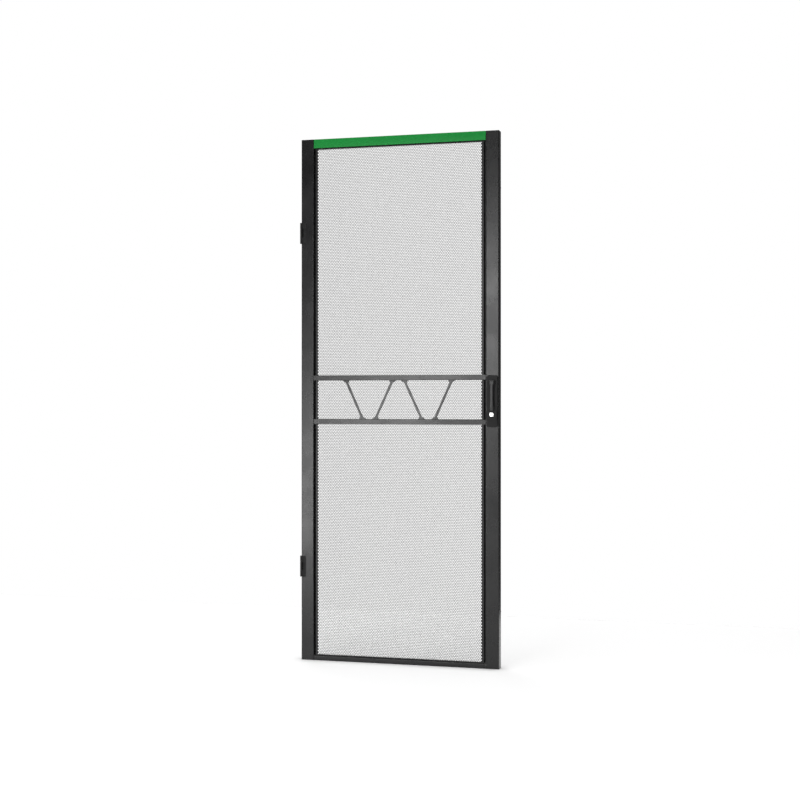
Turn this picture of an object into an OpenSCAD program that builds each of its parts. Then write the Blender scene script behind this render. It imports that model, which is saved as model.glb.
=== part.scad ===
// Perforated front door for a 42-unit, 750 mm wide server rack.
// The door hangs on two pinned hinges at its left edge and is held shut by a swing handle that drives an
// upper and a lower lock rod through a rack-and-pinion gearbox inside the lock stile.
// The origin is the middle of the lower hinge bracket's two fixing holes, on the face that meets the cabinet.
// X runs from the hinges to the handle, Y from the front of the door to the cabinet, Z up.
// The holes of the perforated field are far too many for a solid model, so the panel is solid here.

/* [Door] */
// Width over both stiles
door_w = 746; // [500:1:1000]
// Height over all
door_h = 1926; // [1200:1:2400]
// Depth of the frame, front face to back
door_d = 38; // [34:1:60]
// Gap between the back of the door and the cabinet
stand_off = 8; // [7:0.5:15]

/* [Frame] */
// Sheet thickness of the stiles and rails
frame_t = 1.5; // [1:0.1:2]
// Radius of the frame's bends, to the middle of the sheet
frame_bend = 2; // [1:0.1:3]
// Width of each stile's front face
stile_w = 48; // [46:1:80]
// Width of the lips that turn in at the back of each stile
lip_w = 12; // [11:0.5:16]
// Height of the head rail
head_h = 33; // [25:1:60]
// Height of the foot rail
foot_h = 17; // [12:1:60]
// Depth of the lip that hangs from the back of the head rail
head_lip = 14; // [8:1:20]

/* [Panel] */
// Sheet thickness of the perforated panel
panel_t = 1.2; // [0.8:0.1:1.6]
// Radius of the panel's bends, to the middle of the sheet
panel_bend = 1.5; // [1:0.1:2.5]
// How far the panel's face lies behind the front of the stiles
panel_recess = 3; // [3:0.5:10]
// Width of the shadow groove between a stile and the panel
groove_w = 6.5; // [5:0.5:15]
// Depth of the shadow groove, from the panel's face
groove_d = 12; // [6:0.5:16]
// Width of the tab that is welded to the stile
tab_w = 12; // [8:1:16]
// Depth of the flanges at the panel's head and foot
flange_d = 18; // [10:1:28]

/* [Head strip] */
// Thickness of the head strip
strip_t = 2; // [1.5:0.1:3]
// Distance between the head strip's clips
clip_pitch = 145; // [100:1:200]
// Diameter of a clip's stem
clip_d = 6; // [4:0.5:8]

/* [Truss] */
// Height of the two truss rails
truss_rail_h = 19; // [12:1:30]
// Distance between the middles of the two rails
truss_span = 161; // [120:1:240]
// Thickness of the rails
truss_rail_t = 4; // [3:0.5:6]
// Thickness of the braces
brace_t = 3; // [2:0.5:4]
// Width of a brace
brace_w = 8.5; // [6:0.5:14]
// Width of a brace's flared foot
flare_w = 28; // [20:1:36]
// Height of a brace's flared foot
flare_h = 10; // [6:1:16]
// Head of an inner brace, from the middle of the door
brace_in_head = 22; // [18:1:40]
// Foot of an inner brace, from the middle of the door
brace_in_foot = 88; // [60:1:110]
// Distance between the feet of an inner and an outer brace
brace_foot_gap = 48; // [38:1:60]
// Head of an outer brace, from the middle of the door
brace_out_head = 200; // [160:1:240]

/* [Hinges] */
// Distance between the middles of the two hinges
hinge_span = 1235; // [700:1:1500]
// Height of a hinge leaf
leaf_h = 77; // [64:1:100]
// Width of a hinge leaf, which is let into the stile's face
leaf_w = 10; // [8:0.5:14]
// Depth of a hinge leaf
leaf_d = 14.5; // [12:0.5:18]
// Gap between the knuckles and the leaves
leaf_gap = 2.5; // [2:0.25:5]
// Radius of the knuckles
knuckle_r = 6; // [5:0.25:7.25]
// How far the hinge axis stands out past the door's left edge
axis_out = 1; // [0.5:0.25:3]
// Height of the cabinet bracket's knuckle
mid_knuckle_h = 30; // [20:1:40]
// Radius of a hinge pin
pin_r = 3; // [2:0.25:4]
// Thickness of the washer under the upper knuckle
washer_t = 1; // [0.5:0.1:2]
// Thickness of the cabinet bracket's arm
arm_t = 4; // [3:0.5:5]
// Thickness of the cabinet bracket's plate
plate_t = 3; // [2:0.5:4]
// Width of the cabinet bracket's plate
plate_w = 36; // [30:1:45]
// Distance between the bracket's fixing holes
fixing_pitch = 54; // [40:1:64]
// Radius of the bracket's fixing holes
fixing_r = 3.3; // [2.2:0.1:4.5]

/* [Handle] */
// Height of the escutcheon's middle above the foot of the door
handle_z = 958; // [700:1:1300]
// Distance from the escutcheon's top to the spindle
spindle_drop = 29; // [24:0.5:36]
// Distance from the key plug to the escutcheon's foot
esc_tail = 45; // [38:1:70]
// Width of the escutcheon
esc_w = 40; // [36:1:48]
// Thickness of the escutcheon's plate
esc_t = 6; // [5:0.5:8]
// Corner radius of the escutcheon
esc_r = 7; // [3:0.5:16]
// Width of the lever
lever_w = 14; // [12:0.5:16]
// Thickness of the lever
lever_t = 9; // [7:0.5:11]
// Distance from the spindle to the lever's free end
lever_len = 92; // [76:1:120]
// How far the lever's pivot lies above the spindle
pivot_up = 6; // [4:0.5:7]
// Radius of the lever's pivot pin
pivot_r = 2; // [1.5:0.25:2.5]
// Radius of the hub's flange
hub_r = 14; // [13:0.5:16]
// Radius of the hub's journal
journal_r = 9; // [8:0.5:11]
// Size of the square spindle
spindle_w = 8; // [6:0.5:8]

/* [Lock] */
// Distance from the lever's free end to the key plug
plug_gap = 20; // [18:0.5:30]
// Radius of the key plug's face
plug_r = 7.5; // [6:0.25:9]
// Radius of the plug's neck
neck_r = 5.5; // [4:0.25:6]
// Height of the raised lock housing
lock_h = 29; // [25:1:35]
// Width of the raised lock housing
lock_w = 38; // [32:1:46]
// Thickness of the lock cam
cam_t = 2.4; // [1.5:0.1:3]

/* [Gearbox] */
// Gear module
gear_m = 1.5; // [1.4:0.05:1.6]
// Half height of the gearbox
box_half = 35; // [34:1:45]
// Thickness of the gearbox's front, cover and ends
box_wall = 2.5; // [2:0.25:3]
// Width of a lock rod
rod_w = 8; // [6:0.5:9]
// Thickness of a lock rod
rod_t = 4; // [3:0.5:5]
// Distance from each end of the door to the rod's tip
rod_inset = 26; // [20:1:60]

/* [Fits] */
// Radial clearance of a turning fit
run_gap = 0.05; // [0.02:0.01:0.1]
// Clearance between pieces that move past each other
free_gap = 0.3; // [0.3:0.05:0.6]

/* [Hidden] */
$fn = 48;

black = [0.13, 0.13, 0.14];
dark = [0.07, 0.07, 0.08];
green = [0.08, 0.52, 0.24];
zinc = [0.72, 0.73, 0.74];
nylon = [0.05, 0.05, 0.05];

// Gap of a thread or a pressed fit, both drawn plain; gap of a drilled hole around what goes through it;
// how far a cut runs past its piece; how deep two joined shapes of one piece lie in each other
thread_gap = 0.02;
hole_gap = 0.1;
over = 1;
join = 0.2;

// Hinges
hinge_z = [door_h / 2 - hinge_span / 2, door_h / 2 + hinge_span / 2];
axis_y = knuckle_r;
knuckle_gap = 0.4;
pocket_h = leaf_h + 2 * free_gap;
leaf_reach = knuckle_r - axis_out + leaf_gap + leaf_w;
leaf_front = 0.5;
leaf_back = leaf_front + leaf_d;
mount_y = door_d + stand_off;
mount_x = plate_w / 2 - axis_out - knuckle_r;
pin_h = leaf_h - 3;
leaf_screw_z = 8;
leaf_screw_r = 2;
leaf_head_r = 3.6;
leaf_head_h = 2.1;
leaf_head_y = leaf_front + 0.2;
leaf_key = 2.5;
leaf_screw_x = leaf_reach - leaf_w / 2;
backing_t = 3;
backing_w = 30;
backing_foot = 10;

// Panel
fold_x = stile_w + groove_w + panel_t / 2;
face_y = panel_recess + panel_t / 2;
floor_y = face_y + groove_d;
panel_low = foot_h;
panel_high = door_h - head_h;
panel_corner = panel_bend + panel_t / 2;

// Head strip's clips, as many as fit between the stiles
clip_margin = 20;
clip_pin_r = clip_d / 2 - 1;
clip_count = floor((door_w - 2 * stile_w - 2 * clip_margin) / clip_pitch) + 1;
clip_xs = [for (i = [0 : clip_count - 1]) door_w / 2 + (i - (clip_count - 1) / 2) * clip_pitch];

// Truss
truss_z = [door_h / 2 - truss_span / 2, door_h / 2 + truss_span / 2];
truss_edge = 1.2;
brace_out_foot = brace_in_foot + brace_foot_gap;

// Handle: everything below is measured from the spindle's axis on the stile's front face
plug_drop = lever_len + plug_gap;
esc_h = spindle_drop + plug_drop + esc_tail;
spindle_z = handle_z + esc_h / 2 - spindle_drop;
spindle_x = door_w - stile_w / 2;
lever_air = 1.5;
lever_back = -esc_t - lever_air;
lever_front = lever_back - lever_t;
lever_edge = 1;
pivot_y = (lever_back + lever_front) / 2;
head_r = lever_t / 2;
flange_t = 3;
flange_back = -esc_t + flange_t;
hub_front = -esc_t - 0.5;
ear_t = 3.2;
ear_low = -4;
ear_high = pivot_up + 3;
ear_in = lever_w / 2 + free_gap;
journal_back = frame_t + 3.5;
wall_hole_r = journal_r + 1;
esc_edge = 1.2;
blind = flange_back - 0.5;

// Lock: the cam's reach fills the housing, and the lever's lip ends under the raised cam
plug_to_top = 12;
lock_top = plug_drop - plug_to_top;
lock_front = lever_front + 1.5;
lock_corner = 4;
cam_reach = lock_w / 2 - 2;
lip_t = 1.8;
lip_width = 12;
lip_low = plug_drop - cam_reach + 3.5;
cam_back = lever_back - lip_t - free_gap;
cam_front = cam_back - cam_t;
cam_w = 7;
cam_ring_r = 9;
clip_t = 1;
clip_r = neck_r + 2;
neck_back = frame_t + 3.5;
bezel_t = 1;
bezel_r = plug_r + 2;
plug_front = lock_front - bezel_t - 0.4;
key_slot = [1.8, 7.2];
key_depth = 3.6;

// Screws of the handle
screw_r = 2;
screw_front = blind + 0.3;
cap_h = 2.6;
cap_r = 3.6;
cap_key = 2.5;
esc_screw_up = 12;
esc_screw_z = esc_screw_up - esc_h + spindle_drop;
esc_cap_r = 4.5;
long_screw_z = [spindle_drop - 7, 8 - box_half];
post_r = 3.2;

// Gearbox: pitch radius and the layers across the door's depth
teeth = 12;
pitch_r = gear_m * teeth / 2;
tooth_pitch = PI * gear_m;
rod_travel = pitch_r * PI / 2;
backlash = 0.13;
half_tooth = tooth_pitch / 4 - backlash;
rack_tip = pitch_r - gear_m * 2 / 3;
rack_root = pitch_r + 1.6;
pinion_tip = pitch_r + 1.3;
pinion_root = pitch_r - 1.9;
pressure = 20;
rod_y = 19;
box_front = 7.5;
box_back = box_front + 21;
box_rim = box_back - box_wall;
box_half_w = stile_w / 2 - frame_t - 1.1;
box_side = box_half_w - rack_root - rod_w - free_gap;
gear_t = 6;
pin_journal_r = pinion_root - 0.3;
cover_screw_r = 1.25;
cover_head_r = 2.3;
cover_head_h = 1.6;
cover_key = 1.5;
cover_screw_len = 9;
cover_screw_at = [box_half_w - 4.4, box_half - 4];
cover_post_r = 2.6;

// Rods and guides: each guide's place from the spindle is the middle of its rod in X, and its height
upper_tip_z = door_h - rod_inset - spindle_z;
lower_tip_z = rod_inset - spindle_z;
rack_over = 10;
rod_bevel = [2, 5];
rod_mid = rack_root + rod_w / 2;
guide_stud_z = 11;
guide_h = 32;
guide_w = rod_w + 4.6;
guide_t = 3;
guide_near = 230;
guide_far = 60;
guide_places = [[rod_mid, upper_tip_z - guide_far], [rod_mid, guide_near],
    [-rod_mid, -guide_near], [-rod_mid, lower_tip_z + guide_far]];
stud_r = 2;
stud_len = 9;
nut_across = 7;
nut_t = 3.2;
guide_block = guide_stud_z - nut_across / 2 - 1.2;

// Stops and earth stud
stop_r = 5;
stop_h = stand_off - 0.5;
stem_r = 2.2;
stem_neck = 0.4;
stem_barb = 0.8;
barb_h = 4;
stop_gap = 107;
stop_z = hinge_z[0] - leaf_h / 2 - stop_gap;
stop_x = lip_w / 2 + 0.4;
earth_x = stile_w / 2;
earth_z = 120;
earth_r = 3;
earth_base_r = 5.5;
earth_base_t = 1;
earth_len = 22;

// ---- helpers ----

// Door space: X from the hinge edge, Y back from the front face, Z up from the foot
module in_door() {
    translate([-mount_x, -mount_y, -hinge_z[0]]) children();
}

// Handle space: the spindle's axis, on the lock stile's front face
module in_handle() {
    in_door() translate([spindle_x, 0, spindle_z]) children();
}

// Lock space: the key plug's axis, on the lock stile's front face
module in_lock() {
    in_handle() translate([0, 0, -plug_drop]) children();
}

// Hinge space: the hinge axis, at the middle of hinge number i
module in_hinge(i) {
    in_door() translate([-axis_out, axis_y, hinge_z[i]]) children();
}

// A rod from y0 to y1 along Y
module y_rod(r, y0, y1) {
    translate([0, y0, 0]) rotate([-90, 0, 0]) cylinder(r = r, h = y1 - y0);
}

// A cone from y0 to y1 along Y
module y_cone(r0, r1, y0, y1) {
    translate([0, y0, 0]) rotate([-90, 0, 0]) cylinder(r1 = r0, r2 = r1, h = y1 - y0);
}

// A hexagonal bar along Y, given across its flats
module y_hex(across, y0, y1) {
    translate([0, y0, 0]) rotate([-90, 0, 0]) cylinder(r = across / sqrt(3), h = y1 - y0, $fn = 6);
}

// A box between two corners
module span(a, b) {
    translate(a) cube(b - a);
}

// A flat shape drawn in X and Z, extruded from y0 to y1
module plate_y(y0, y1) {
    translate([0, y1, 0]) rotate([90, 0, 0]) linear_extrude(y1 - y0) children();
}

// A flat shape drawn in Y and Z, extruded from x0 to x1
module plate_x(x0, x1) {
    translate([x0, 0, 0]) rotate([90, 0, 90]) linear_extrude(x1 - x0) children();
}

// A rectangle with round corners, centred
module round_rect(w, h, r) {
    square([w - 2 * r, h], center = true);
    square([w, h - 2 * r], center = true);
    for (sx = [-1, 1]) for (sy = [-1, 1]) translate([sx * (w / 2 - r), sy * (h / 2 - r)]) circle(r);
}

// Cap screw along Y: a plain shaft from its tip back to the seat, then a head with a hexagonal socket
module cap_screw(r, tip, seat, cap, cap_h, key) {
    y_rod(r - thread_gap, tip, seat + join);
    difference() {
        y_rod(cap, seat, seat + cap_h);
        y_hex(key, seat + cap_h * 0.4, seat + cap_h + over);
    }
}

function unit(v) = v / norm(v);

// Section of a sheet folded at right angles along a path through the middle of its thickness:
// straight legs, and a quarter ring at each bend
module folded(path, t, bend) {
    last = len(path) - 1;
    for (i = [0 : last - 1]) {
        d = unit(path[i + 1] - path[i]);
        a = path[i] + (i > 0 ? bend : 0) * d;
        b = path[i + 1] - (i < last - 1 ? bend : 0) * d;
        side = [abs(d[1]), abs(d[0])] * t / 2;
        low = [min(a[0], b[0]), min(a[1], b[1])] - side;
        high = [max(a[0], b[0]), max(a[1], b[1])] + side;
        translate(low) square(high - low);
    }
    for (i = [1 : last - 1]) {
        d1 = unit(path[i] - path[i - 1]);
        d2 = unit(path[i + 1] - path[i]);
        c = path[i] + (d2 - d1) * bend;
        reach = (d1 - d2) * (bend + t);
        intersection() {
            translate(c) difference() {
                circle(bend + t / 2);
                circle(bend - t / 2);
            }
            translate([min(c[0], c[0] + reach[0]), min(c[1], c[1] + reach[1])])
                square([abs(reach[0]), abs(reach[1])]);
        }
    }
}

// ---- frame ----

// A stile with its outer wall at x = 0: a channel open at the back, closed at both ends
module stile_channel() {
    m = frame_t / 2;
    back = door_d - m;
    linear_extrude(door_h) folded([[stile_w - lip_w, back], [stile_w - m, back], [stile_w - m, m], [m, m],
        [m, back], [lip_w, back]], frame_t, frame_bend);
    for (z = [0, door_h - frame_t]) translate([stile_w / 2, door_d / 2, z])
        linear_extrude(frame_t) round_rect(stile_w, door_d, frame_bend + m);
}

// Holes in a stile's back lip for the stems of its two rubber stops
module stop_holes(x) {
    for (z = [stop_z, door_h - stop_z]) translate([x, 0, z])
        y_rod(stem_r, door_d - frame_t - over, door_d + over);
}

// A hole through the front wall of the lock stile
module wall_hole(r, z) {
    translate([0, 0, z]) y_rod(r, -over, frame_t + over);
}

module left_stile() {
    color(black) in_door() difference() {
        stile_channel();
        for (z = hinge_z) span([-over, -over, z - pocket_h / 2],
            [leaf_reach + free_gap, leaf_back, z + pocket_h / 2]);
        stop_holes(stop_x);
    }
}

module right_stile() {
    color(black) in_door() difference() {
        union() {
            translate([door_w, 0, 0]) mirror([1, 0, 0]) stile_channel();
            for (g = guide_places) translate([spindle_x + g[0], 0, spindle_z + g[1]]) for (s = [-1, 1])
                translate([0, 0, s * guide_stud_z]) y_rod(stud_r, frame_t - join, frame_t + stud_len);
        }
        stop_holes(door_w - stop_x);
        translate([spindle_x, 0, spindle_z]) {
            wall_hole(wall_hole_r, 0);
            wall_hole(clip_r + over, -plug_drop);
            for (z = long_screw_z) wall_hole(post_r + hole_gap, z);
            wall_hole(screw_r + free_gap, esc_screw_z);
        }
    }
}

module head_rail() {
    m = frame_t / 2;
    low = door_h - head_h + m;
    high = door_h - m;
    front = strip_t + m;
    back = door_d - m;
    color(black) in_door() difference() {
        plate_x(stile_w, door_w - stile_w) folded([[door_d, low], [front, low], [front, high], [back, high],
            [back, high - head_lip]], frame_t, frame_bend);
        for (x = clip_xs) translate([x, 0, door_h - head_h / 2])
            y_rod(clip_d / 2 + run_gap, 0, front + frame_t);
    }
}

module foot_rail() {
    m = frame_t / 2;
    color(black) in_door() plate_x(stile_w, door_w - stile_w)
        folded([[door_d, foot_h - m], [m, foot_h - m], [m, m], [door_d, m]], frame_t, frame_bend);
}

// One sheet: a flat face, a groove folded along each side with a welding tab, and a flange at head and foot
module perforated_panel() {
    m = panel_t / 2;
    tab_x = stile_w + m;
    tab_y = floor_y + tab_w;
    color(black) in_door() {
        translate([0, 0, panel_low + panel_corner]) linear_extrude(panel_high - panel_low - 2 * panel_corner)
            folded([[tab_x, tab_y], [tab_x, floor_y], [fold_x, floor_y], [fold_x, face_y],
                [door_w - fold_x, face_y], [door_w - fold_x, floor_y], [door_w - tab_x, floor_y],
                [door_w - tab_x, tab_y]], panel_t, panel_bend);
        plate_x(fold_x + panel_bend, door_w - fold_x - panel_bend)
            folded([[face_y + flange_d, panel_high - m], [face_y, panel_high - m], [face_y, panel_low + m],
                [face_y + flange_d, panel_low + m]], panel_t, panel_bend);
    }
}

// ---- head strip ----

module head_strip() {
    color(green) in_door() difference() {
        span([stile_w, 0, door_h - head_h], [door_w - stile_w, strip_t, door_h]);
        for (x = clip_xs) translate([x, 0, door_h - head_h / 2])
            y_rod(clip_pin_r, strip_t / 2, strip_t + over);
    }
}

// Push-in clips: a pin in the strip's back, a stem through the rail and a barbed end
module strip_clips() {
    rear = strip_t + frame_t;
    color(nylon) in_door() for (x = clip_xs) translate([x, 0, door_h - head_h / 2]) {
        y_rod(clip_pin_r - run_gap, strip_t / 2 + run_gap, rear);
        y_rod(clip_d / 2, strip_t + run_gap, rear + over);
        y_cone(clip_d / 2 + 1, clip_pin_r, rear + hole_gap, rear + clip_d);
    }
}

// ---- truss ----

// A flat bar with rounded long edges, welded between the stiles in front of the panel
module truss_rail(z) {
    color(black) in_door() translate([0, panel_recess - truss_rail_t / 2, z])
        plate_x(stile_w, door_w - stile_w) round_rect(truss_rail_t, truss_rail_h, truss_edge);
}

module truss_upper_rail() truss_rail(truss_z[1]);
module truss_lower_rail() truss_rail(truss_z[0]);

// A flat diagonal from (x0, low rail) to (x1, high rail), with a flared foot at each end
module brace(x0, x1) {
    low = truss_z[0] + truss_rail_h / 2;
    high = truss_z[1] - truss_rail_h / 2;
    lean = (x1 - x0) / (high - low);
    half = brace_w / 2 * sqrt(1 + lean * lean);
    color(black) in_door() translate([door_w / 2, 0, 0]) plate_y(panel_recess - brace_t, panel_recess)
        polygon([[x0 - flare_w / 2, low], [x0 + flare_w / 2, low],
        [x0 + flare_h * lean + half, low + flare_h], [x1 - flare_h * lean + half, high - flare_h],
        [x1 + flare_w / 2, high], [x1 - flare_w / 2, high],
        [x1 - flare_h * lean - half, high - flare_h], [x0 + flare_h * lean - half, low + flare_h]]);
}

module brace_outer_left() brace(-brace_out_foot, -brace_out_head);
module brace_inner_left() brace(-brace_in_foot, -brace_in_head);
module brace_inner_right() brace(brace_in_foot, brace_in_head);
module brace_outer_right() brace(brace_out_foot, brace_out_head);

// ---- hinges ----

// Cabinet bracket: a plate on the cabinet, an arm past the door's edge and the middle knuckle
module hinge_bracket(i) {
    left = -knuckle_r;
    back = mount_y - axis_y;
    half = mid_knuckle_h / 2;
    color(dark) in_hinge(i) difference() {
        union() {
            translate([0, 0, -half]) cylinder(r = knuckle_r, h = mid_knuckle_h);
            span([left, 0, -half], [left + arm_t, back, half]);
            span([left, back - plate_t, -leaf_h / 2], [left + plate_w, back, leaf_h / 2]);
        }
        translate([0, 0, -half - over]) cylinder(r = pin_r + thread_gap, h = mid_knuckle_h + 2 * over);
        for (s = [-1, 1]) translate([mount_x + axis_out, 0, s * fixing_pitch / 2])
            y_rod(fixing_r, back - plate_t - over, back + over);
    }
}

module upper_hinge_bracket() hinge_bracket(1);
module lower_hinge_bracket() hinge_bracket(0);

// Door leaf: a block let into the stile, with a knuckle above and below the bracket's
module hinge_leaf(i) {
    near = leaf_reach - leaf_w + axis_out;
    far = leaf_reach + axis_out;
    y0 = leaf_front - axis_y;
    y1 = leaf_back - axis_y;
    inner = mid_knuckle_h / 2;
    web = knuckle_r * 0.7;
    color(dark) in_hinge(i) difference() {
        union() {
            span([near, y0, -leaf_h / 2], [far, y1, leaf_h / 2]);
            for (s = [-1, 1]) {
                low = s > 0 ? inner + washer_t + knuckle_gap : -leaf_h / 2;
                high = s > 0 ? leaf_h / 2 : -inner - knuckle_gap;
                translate([0, 0, low]) cylinder(r = knuckle_r, h = high - low);
                span([0, -web, low], [near + join, web, high]);
            }
        }
        translate([0, 0, -leaf_h / 2 - over]) cylinder(r = pin_r + run_gap, h = leaf_h + 2 * over);
        for (s = [-1, 1]) translate([leaf_screw_x + axis_out, -axis_y, s * leaf_screw_z]) {
            y_rod(leaf_screw_r + hole_gap, 0, leaf_back + over);
            y_rod(leaf_head_r + hole_gap, 0, leaf_head_y);
            y_cone(leaf_head_r + hole_gap, leaf_screw_r + hole_gap, leaf_head_y, leaf_head_y + leaf_head_h);
        }
    }
}

module upper_hinge_leaf() hinge_leaf(1);
module lower_hinge_leaf() hinge_leaf(0);

module hinge_pin(i) {
    bevel = 0.6;
    color(zinc) in_hinge(i) translate([0, 0, -pin_h / 2]) rotate_extrude()
        polygon([[0, 0], [pin_r - bevel, 0], [pin_r, bevel], [pin_r, pin_h - bevel], [pin_r - bevel, pin_h],
            [0, pin_h]]);
}

module upper_hinge_pin() hinge_pin(1);
module lower_hinge_pin() hinge_pin(0);

// Plate welded behind the front wall of the hinge stile, on a foot above and below the leaf's pocket
module hinge_backing(i) {
    half = pocket_h / 2 + backing_t + backing_foot;
    right = frame_t + backing_w;
    color(zinc) in_door() translate([0, 0, hinge_z[i]]) difference() {
        union() {
            span([frame_t, leaf_back, -half], [right, leaf_back + backing_t, half]);
            for (s = [-1, 1]) span([frame_t + frame_bend, frame_t, s > 0 ? half - backing_foot : -half],
                [right, leaf_back, s > 0 ? half : -half + backing_foot]);
        }
        for (s = [-1, 1]) translate([leaf_screw_x, 0, s * leaf_screw_z])
            y_rod(leaf_screw_r + thread_gap, leaf_back - over, leaf_back + backing_t + over);
    }
}

module upper_hinge_backing() hinge_backing(1);
module lower_hinge_backing() hinge_backing(0);

module hinge_leaf_screws() {
    color(dark) in_door() for (z = hinge_z) for (s = [-1, 1])
        translate([leaf_screw_x, 0, z + s * leaf_screw_z]) difference() {
            union() {
                y_cone(leaf_head_r, leaf_screw_r, leaf_head_y, leaf_head_y + leaf_head_h);
                y_rod(leaf_screw_r, leaf_head_y + leaf_head_h, leaf_back + backing_t + 2);
            }
            y_hex(leaf_key, leaf_head_y - over, leaf_head_y + 1.6);
        }
}

module hinge_washers() {
    low = mid_knuckle_h / 2 + knuckle_gap / 2;
    color(nylon) for (i = [0, 1]) in_hinge(i) difference() {
        translate([0, 0, low]) cylinder(r = knuckle_r - free_gap, h = washer_t);
        translate([0, 0, low - over]) cylinder(r = pin_r + hole_gap, h = washer_t + 2 * over);
    }
}

// ---- handle ----

// Plate with a recess for the hub's flange and a raised housing around the key plug
module escutcheon() {
    middle = spindle_drop - esc_h / 2;
    color(dark) in_handle() difference() {
        union() {
            translate([0, 0, middle]) plate_y(-esc_t + esc_edge, 0) round_rect(esc_w, esc_h, esc_r);
            translate([0, 0, middle]) plate_y(-esc_t, 0)
                round_rect(esc_w - 2 * esc_edge, esc_h - 2 * esc_edge, esc_r - esc_edge);
            translate([0, 0, -lock_top - lock_h / 2]) plate_y(lock_front, -1)
                round_rect(lock_w, lock_h, lock_corner);
            for (z = long_screw_z) translate([0, 0, z]) y_rod(post_r, -1, box_front);
        }
        y_rod(journal_r + run_gap, -esc_t - over, over);
        y_rod(hub_r + free_gap, -esc_t - over, flange_back);
        for (z = long_screw_z) translate([0, 0, z]) y_rod(screw_r, blind, box_front + over);
        translate([0, 0, esc_screw_z]) y_rod(screw_r, blind, over);
        translate([0, 0, -plug_drop]) {
            y_rod(plug_r + run_gap, lock_front - over, cam_back + free_gap);
            y_rod(neck_r + run_gap, cam_front, over);
            intersection() {
                y_rod(cam_reach + 0.5, cam_front - free_gap, cam_back + free_gap);
                span([-lock_w, lock_front, -cam_ring_r - free_gap], [cam_ring_r + free_gap, 0, lock_w]);
            }
        }
    }
}

// Lever: a rounded head on the pivot, a straight grip and a thin lip at the free end that the lock cam covers
module lever() {
    color(black) in_handle() difference() {
        union() {
            translate([0, pivot_y, pivot_up]) rotate([0, 90, 0])
                cylinder(r = head_r, h = lever_w, center = true);
            span([-lever_w / 2, lever_front + lever_edge, -lever_len], [lever_w / 2, lever_back, pivot_up]);
            span([-lever_w / 2 + lever_edge, lever_front, lever_edge - lever_len],
                [lever_w / 2 - lever_edge, lever_back, pivot_up]);
            span([-lip_width / 2, lever_back - lip_t, -lip_low],
                [lip_width / 2, lever_back, join - lever_len]);
        }
        translate([0, pivot_y, pivot_up]) rotate([0, 90, 0])
            cylinder(r = pivot_r + run_gap, h = lever_w + 2 * over, center = true);
    }
}

module lever_pin() {
    half = ear_in + ear_t - join;
    color(zinc) in_handle() translate([-half, pivot_y, pivot_up]) rotate([0, 90, 0])
        cylinder(r = pivot_r, h = 2 * half);
}

// Hub: a flange let into the escutcheon, a journal through it and two ears that hold the lever's pin
module hub() {
    socket = spindle_w / 2 + run_gap;
    color(dark) in_handle() difference() {
        union() {
            y_rod(hub_r, hub_front, flange_back - free_gap);
            y_rod(journal_r, hub_front, journal_back);
            for (x = [ear_in, -ear_in - ear_t]) {
                span([x, pivot_y, ear_low], [x + ear_t, hub_front + join, ear_high]);
                translate([x, pivot_y, pivot_up]) rotate([0, 90, 0]) cylinder(r = head_r - 0.5, h = ear_t);
            }
        }
        translate([0, pivot_y, pivot_up]) rotate([0, 90, 0])
            cylinder(r = pivot_r + thread_gap, h = esc_w, center = true);
        span([-socket, over - esc_t, -socket], [socket, journal_back + over, socket]);
    }
}

module spindle() {
    half = spindle_w / 2;
    color(zinc) in_handle() span([-half, over + join - esc_t, -half], [half, box_back + 1.5, half]);
}

module lock_bezel() {
    color(dark) in_lock() difference() {
        y_rod(bezel_r, lock_front - bezel_t, lock_front);
        y_rod(plug_r + free_gap, lock_front - bezel_t - over, lock_front + over);
    }
}

// Key plug: a bright face with a keyway, a stepped neck behind it
module key_plug() {
    color(zinc) in_lock() difference() {
        union() {
            y_rod(plug_r, plug_front, cam_front - hole_gap);
            y_rod(neck_r, cam_front - join, neck_back);
        }
        span([-key_slot[0] / 2, plug_front - over, -key_slot[1] / 2],
            [key_slot[0] / 2, plug_front + key_depth, key_slot[1] / 2]);
        y_rod(key_slot[0] - hole_gap, plug_front - over, plug_front + key_depth / 2);
    }
}

// Lock cam: at rest it points at the hinge side; a quarter turn brings it over the lever's lip
module lock_cam() {
    color(zinc) in_lock() difference() {
        union() {
            y_rod(cam_ring_r, cam_front, cam_back);
            intersection() {
                span([-cam_reach, cam_front, -cam_w / 2], [0, cam_back, cam_w / 2]);
                y_rod(cam_reach, cam_front - over, cam_back + over);
            }
        }
        y_rod(neck_r + thread_gap, cam_front - over, cam_back + over);
    }
}

module plug_clip() {
    y0 = frame_t + 1;
    color(zinc) in_lock() difference() {
        y_rod(clip_r, y0, y0 + clip_t);
        y_rod(neck_r + thread_gap, y0 - over, y0 + clip_t + over);
    }
}

// ---- gearbox ----

// The two corners of the gearbox that no rod passes
module at_cover_screws() {
    for (s = [-1, 1]) translate([s * cover_screw_at[0], 0, -s * cover_screw_at[1]]) children();
}

// Holes for the two long screws, from y0 to y1
module long_screw_holes(r, y0, y1) {
    for (z = long_screw_z) translate([0, 0, z]) y_rod(r, y0, y1);
}

module gearbox_body() {
    inner = box_half_w - box_side;
    color(zinc) in_handle() difference() {
        span([-box_half_w, box_front, -box_half], [box_half_w, box_rim, box_half]);
        difference() {
            span([-inner, box_front + box_wall, box_wall - box_half],
                [inner, box_rim + over, box_half - box_wall]);
            at_cover_screws() y_rod(cover_post_r, box_front, box_back);
            long_screw_holes(post_r, box_front, box_back);
        }
        y_rod(pin_journal_r + run_gap, box_front - over, box_front + box_wall + over);
        long_screw_holes(screw_r + join, box_front - over, box_back);
        at_cover_screws() y_rod(cover_screw_r, box_back + join - cover_screw_len, box_back);
        rod_slots();
    }
}

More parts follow.
